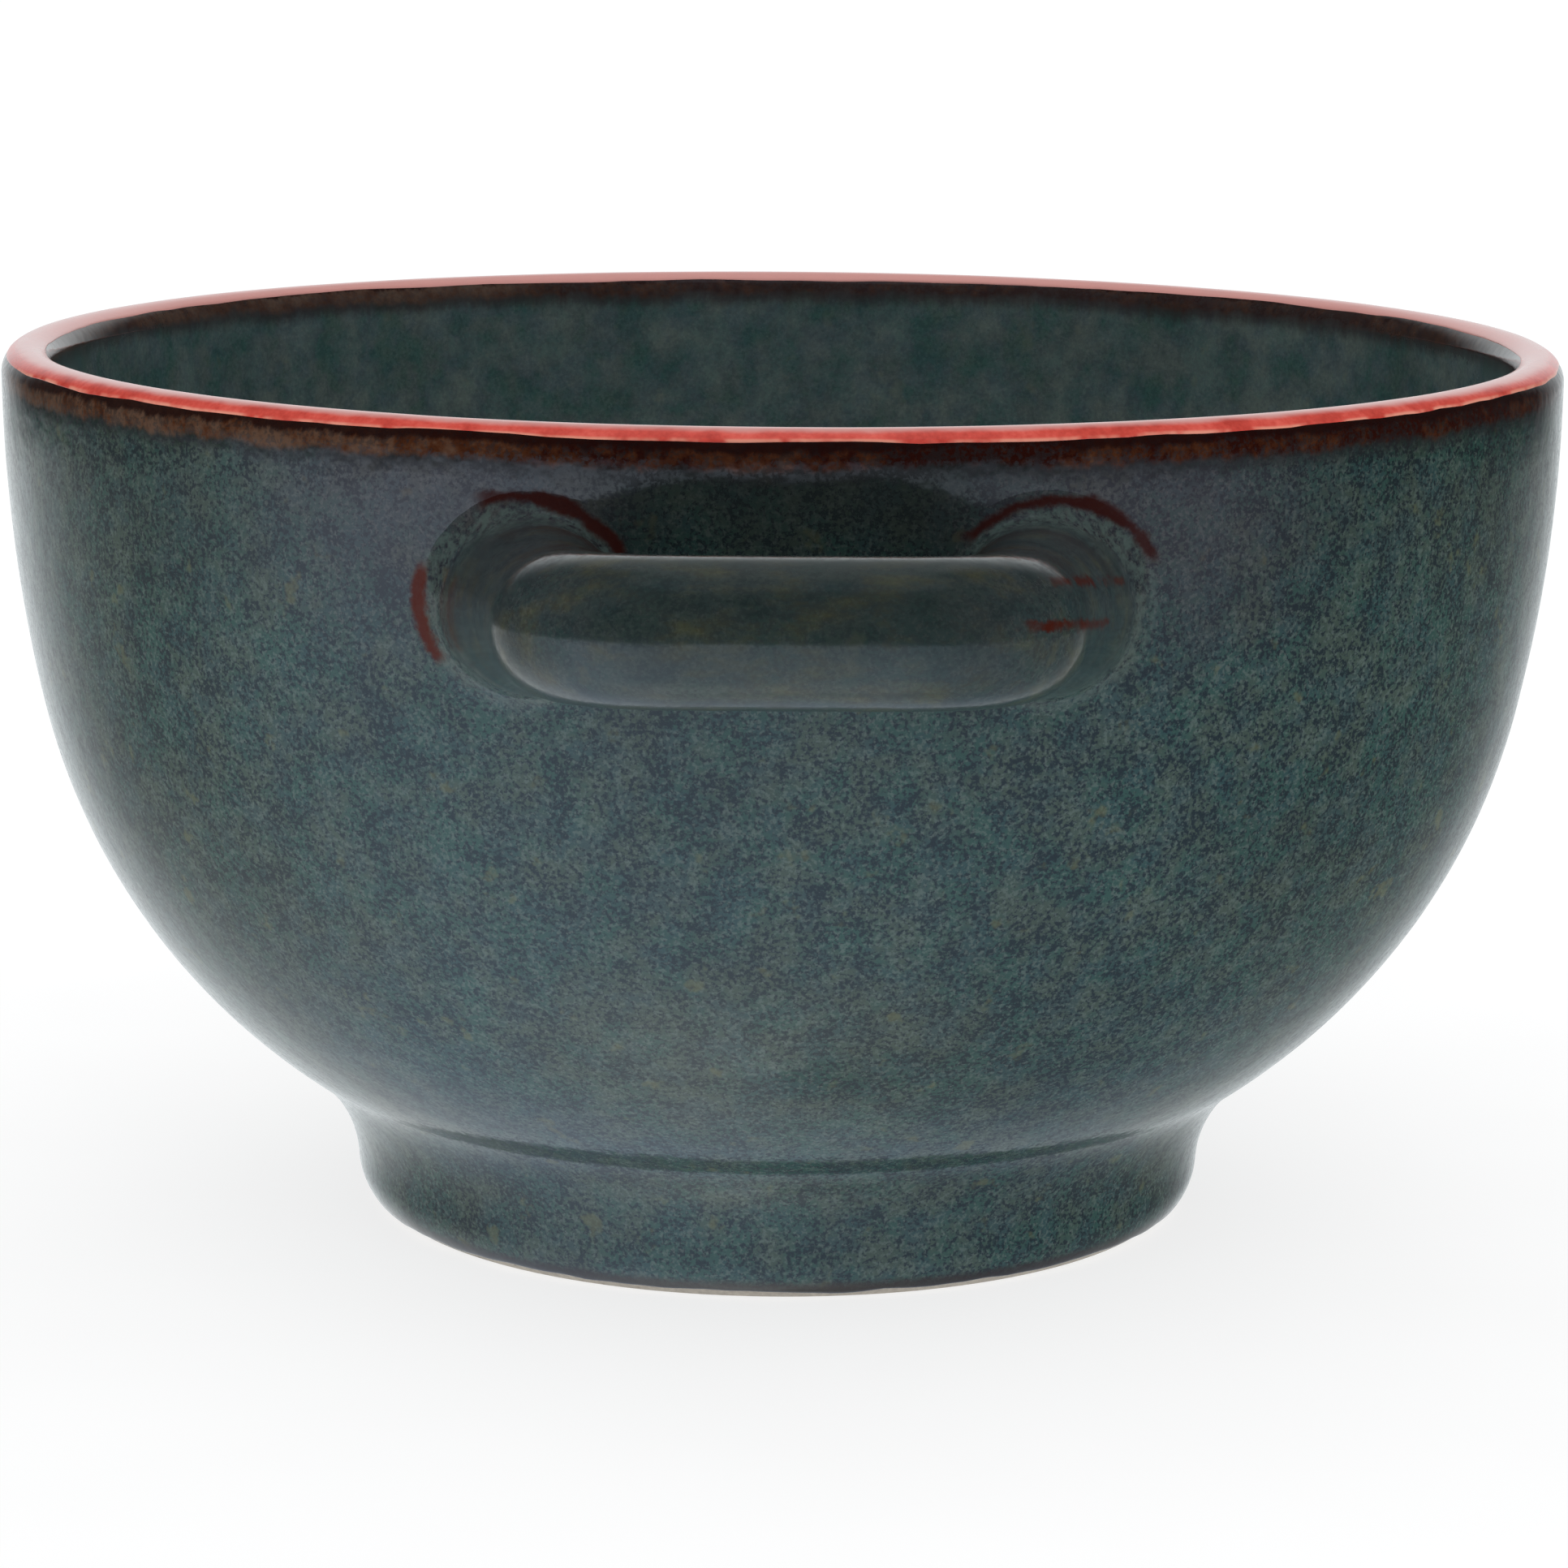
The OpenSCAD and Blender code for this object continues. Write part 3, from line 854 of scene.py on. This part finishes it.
    def elbow_streak(self, height, first, last, noise_name):
        """A broken streak that rises a little outward, on the front lug."""
        off = self.times_plus(self.mottle, STREAK_MOTTLE, self.times_plus(self.y, STREAK_SLOPE, self.z))
        off = self.size(self.minus(off, height + STREAK_MOTTLE / 2))
        part = self.window(self.x, first, first + STREAK_START, last, last + STREAK_STOP)
        part = self.times(self.times(part, self.lug_side), self.step(self.y, *FRONT_SIDE))
        part = self.times(part, self.step(self.noise(noise_name), *STREAK_UNBROKEN))
        return self.times(self.step(off, *STREAK_WIDTH), part)


# Colours of the lip band, the clay, the slip and the floor, and where the band is pale, in millimetres. The
# pale crest and inner half are a painted highlight
BAND_REDS = ((0.34, (0.46, 0.048, 0.034)), (0.50, (0.62, 0.075, 0.054)), (0.66, (0.74, 0.120, 0.088)))
BAND_EDGE_PALE = (0.78, 0.34, 0.24)
BAND_CREST_HIGHLIGHT = (0.62, 0.33, 0.30)
BAND_CREST = (BOWL_H - 0.32, BOWL_H + 0.06)
BAND_INNER_HALF = (lip_c[0] + 0.7, lip_c[0] - 0.5)
CLAY_DARK, CLAY_LIGHT = (0.30, 0.27, 0.23), (0.45, 0.41, 0.35)
SLIP_DARK, SLIP_LIGHT = (0.30, 0.26, 0.20), (0.42, 0.36, 0.28)
CLAY_SPECK = (0.16, 0.12, 0.09)
PAPER_GREYS = ((0.3, (0.29, 0.29, 0.29)), (0.7, (0.31, 0.31, 0.31)))


def band_material():
    """Coral-red enamel with a painted highlight over the crest and the inner half, and a pale line along its
    outer edge.
    """
    n = Nodes("lip_enamel_look")
    blotch = n.noise("band_blotch")
    grain = n.noise("band_grain")
    colour = n.ramp(n.times_plus(blotch, 0.6, n.times(grain, 0.4)), BAND_REDS)
    outer_edge = n.tree.nodes.new("ShaderNodeAttribute")
    outer_edge.attribute_name = "outer_edge"
    pale = n.times(n.step(outer_edge.outputs["Fac"], 0.2, 0.8), n.step(blotch, 0.36, 0.58))
    colour = n.mix(n.times(pale, 0.8), colour, BAND_EDGE_PALE)
    x, y, z = n.axes()
    # A painted highlight: paler over the crest and the inner half
    crest = n.step(n.plus(z, n.times_plus(blotch, 0.4, -0.2)), *BAND_CREST)
    crest = n.most(crest, n.step(n.length(x, y), *BAND_INNER_HALF))
    colour = n.mix(n.times(crest, 0.85), colour, BAND_CREST_HIGHLIGHT)
    n.set(Base_Color=colour, Roughness=n.times_plus(blotch, 0.12, 0.10), IOR=GLAZE_IOR)
    n.bump(n.plus(grain, blotch), strength=0.2, depth_mm=0.03)
    return n.material


def clay_material(name, dark, light):
    """Bare fired clay with fine grog."""
    n = Nodes(name)
    grain = n.noise("clay_grain")
    value = n.times_plus(grain, 0.6, n.times(n.noise("clay_cloud"), 0.4))
    colour = n.ramp(value, ((0.35, dark), (0.65, light)))
    specks = n.step(n.noise("clay_speck"), 0.70, 0.76)
    colour = n.mix(n.times(specks, 0.5), colour, CLAY_SPECK)
    n.set(Base_Color=colour, Roughness=n.times_plus(grain, 0.2, 0.7))
    n.bump(grain, strength=0.5, depth_mm=0.08)
    return n.material


def give(piece, material):
    piece.data.materials.clear()
    piece.data.materials.append(material)


glaze_look = Glaze("speckled_glaze_look", False).material
inner_look = Glaze("inner_glaze_look", True).material
band_look = band_material()
clay_look = clay_material("stoneware_look", CLAY_DARK, CLAY_LIGHT)
slip_look = clay_material("luting_slip_look", SLIP_DARK, SLIP_LIGHT)

for piece, node, slot, look in (
    (outer_coat, "outer_glaze", "speckled_glaze", glaze_look),
    (inner_coat, "inner_glaze", "speckled_glaze", inner_look),
    (recess_coat, "recess_glaze", "speckled_glaze", glaze_look),
    (band_coat, "lip_band", "lip_enamel", band_look),
    (front_coat, "front_lug_glaze", "speckled_glaze", glaze_look),
    (rear_coat, "rear_lug_glaze", "speckled_glaze", glaze_look),
):
    give(piece, look)
    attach(piece, "root")
    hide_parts(node)
for name in ("bowl_body", "foot_ring", "front_lug", "rear_lug"):
    give(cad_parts[name], clay_look)
for name in ("front_lug_slip", "rear_lug_slip"):
    give(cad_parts[name], slip_look)


# The stage, with its sizes in metres
FLOOR_HALF = 15.0
FLOOR_SINK = 0.00005
FLOOR_GLOW = 0.75
SURROUNDINGS = (0.98, 0.99, 1.0, 1)
TENT_R = 3.0
TENT_ROWS, TENT_COLUMNS = 32, 64

# Light in the tent, each far off along the table and close to the bowl: the table, the lamp at the left,
# the pale backdrop, and what a gap at the left takes away. Then where each starts and is full, in degrees
# aside from the front or up from level
TABLE_LIGHT = (0.63, 0.78)
LAMP_LIGHT = (0.45, 0.42)
BACKDROP_LIGHT = (0.48, 0.11)
GAP_LOSS = (0.55, 0.15)
UNDER_LIGHT = 0.20
ROOM_LIGHT, BEHIND_LIGHT, LOW_BEHIND_LIGHT, ROOF_LIGHT = 0.03, 0.34, 0.55, 0.22
LAMP_A, GAP_A = 60.0, 106.0
GAP_WIDTH = (48.0, 0.0)
CLOSE = (-14.0, -50.0)
UNDER = (-56.0, -80.0)
OVER_TABLE = (-7.5, -5.0)
BACKDROP = (125.0, 168.0)
BEHIND = (138.0, 166.0)
LOW_BEHIND = (42.0, 20.0)
ROOF = (66.0, 78.0)
COOL_ASIDE, COOL_DOWN = (120.0, 60.0), (-30.0, -60.0)
WHITE_LIGHT, COOL_LIGHT = (0.95, 1.0, 1.02), (0.84, 0.96, 1.16)


def sheet_object(name, corners, faces):
    mesh = bpy.data.meshes.new(name)
    mesh.from_pydata(corners, [], faces)
    made = bpy.data.objects.new(name, mesh)
    bpy.context.scene.collection.objects.link(made)
    return made


def floor_material():
    n = Nodes("floor_look")
    n.set(
        Base_Color=n.ramp(n.noise("paper"), PAPER_GREYS),
        Roughness=0.9,
        Specular_IOR_Level=0.0,
        Emission_Color=(1.0, 1.0, 1.0, 1),
        Emission_Strength=FLOOR_GLOW,
    )
    return n.material


def tent_material():
    """What the glaze reflects: a table, a lamp to the left, a backdrop behind, and a dark room in front."""
    n = Nodes("tent_look")
    x, y, z = n.axes()
    aside = n.math("ARCTAN2", x, n.times(y, -1.0))
    turned_away = n.size(aside)
    up = n.math("ARCSINE", n.math("DIVIDE", z, TENT_R * METRE))

    def between(value, start, full):
        return n.step(value, math.radians(start), math.radians(full))

    close = between(up, *CLOSE)

    def level(far_off, close_by):
        return n.times_plus(close, close_by - far_off, far_off)

    lamp = n.math("COSINE", n.plus(aside, math.radians(LAMP_A)))
    table = n.times_plus(lamp, level(*LAMP_LIGHT), level(*TABLE_LIGHT))
    table = n.plus(table, n.times(between(turned_away, *BACKDROP), level(*BACKDROP_LIGHT)))
    from_gap = n.size(n.plus(aside, math.radians(GAP_A)))
    table = n.minus(table, n.times(between(from_gap, *GAP_WIDTH), level(*GAP_LOSS)))
    under = between(up, *UNDER)
    table = n.times_plus(under, UNDER_LIGHT, n.most(table, 0.0))

    behind = between(turned_away, *BEHIND)
    backdrop = n.times_plus(between(up, *LOW_BEHIND), LOW_BEHIND_LIGHT, BEHIND_LIGHT)
    room = n.times_plus(behind, backdrop, ROOM_LIGHT)
    roof = n.times(between(up, *ROOF), n.minus(1.0, behind))
    room = n.times_plus(roof, ROOF_LIGHT, room)

    over_table = between(up, *OVER_TABLE)
    light = n.plus(n.times(table, n.minus(1.0, over_table)), n.times(room, over_table))
    cool = n.most(between(turned_away, *COOL_ASIDE), between(up, *COOL_DOWN))
    cool = n.times(cool, n.times_plus(under, -0.8, 1.0))
    n.set(
        Base_Color=(0.0, 0.0, 0.0, 1),
        Specular_IOR_Level=0.0,
        Emission_Color=n.mix(cool, WHITE_LIGHT, COOL_LIGHT),
        Emission_Strength=light,
    )
    n.material.cycles.emission_sampling = "NONE"
    return n.material


# Pale floor
floor = sheet_object("floor", [
    (x * FLOOR_HALF, y * FLOOR_HALF, -FLOOR_SINK) for x, y in ((-1, -1), (1, -1), (1, 1), (-1, 1))
], [(0, 1, 2, 3)])
give(floor, floor_material())
floor.visible_glossy = False

# The tent, which only reflections see
corners, faces = [], []
for i in range(TENT_ROWS + 1):
    e = math.pi * (i / TENT_ROWS - 0.5)
    for j in range(TENT_COLUMNS):
        a = 2 * math.pi * j / TENT_COLUMNS
        level_r = TENT_R * math.cos(e)
        corners.append((level_r * math.cos(a), level_r * math.sin(a), TENT_R * math.sin(e)))
for i in range(TENT_ROWS):
    low, high = i * TENT_COLUMNS, (i + 1) * TENT_COLUMNS
    for j in range(TENT_COLUMNS):
        k = (j + 1) % TENT_COLUMNS
        faces.append((low + j, low + k, high + k, high + j))
tent = sheet_object("light_tent", corners, faces)
give(tent, tent_material())
for kind in ("camera", "diffuse", "shadow", "transmission", "volume_scatter"):
    setattr(tent, "visible_" + kind, False)

# Even white surroundings
world = bpy.data.worlds.new("studio")
bpy.context.scene.world = world
world.use_nodes = True
surroundings = world.node_tree.nodes["Background"]
surroundings.inputs["Color"].default_value = SURROUNDINGS
surroundings.inputs["Strength"].default_value = 1.0
bpy.context.scene.view_settings.view_transform = "Standard"

# Camera: where the photograph was taken from, in millimetres and degrees, and the lens in its pixels
CAMERA_DISTANCE = 447.1
CAMERA_HEIGHT = 122.6
CAMERA_AZIMUTH = -0.40
CAMERA_YAW = -0.048
CAMERA_PITCH = 10.83
CAMERA_ROLL = 0.43
FOCAL_PIXELS, PHOTO_PIXELS = 6275, 1932
SENSOR = 36.0
camera_data = bpy.data.cameras.new("camera")
camera_data.sensor_width = SENSOR
camera_data.lens = SENSOR * FOCAL_PIXELS / PHOTO_PIXELS
camera_data.clip_start = 0.01
camera_data.clip_end = 100.0
camera = bpy.data.objects.new("camera", camera_data)
bpy.context.scene.collection.objects.link(camera)
azimuth = math.radians(CAMERA_AZIMUTH)
camera_place = Vector((
    CAMERA_DISTANCE * math.sin(azimuth), -CAMERA_DISTANCE * math.cos(azimuth), CAMERA_HEIGHT))
camera.matrix_world = (
    Matrix.Translation(camera_place * MM)
    @ Matrix.Rotation(azimuth + math.radians(CAMERA_YAW), 4, "Z")
    @ Matrix.Rotation(math.radians(90 - CAMERA_PITCH), 4, "X")
    @ Matrix.Rotation(math.radians(CAMERA_ROLL), 4, "Z")
)
bpy.context.scene.camera = camera
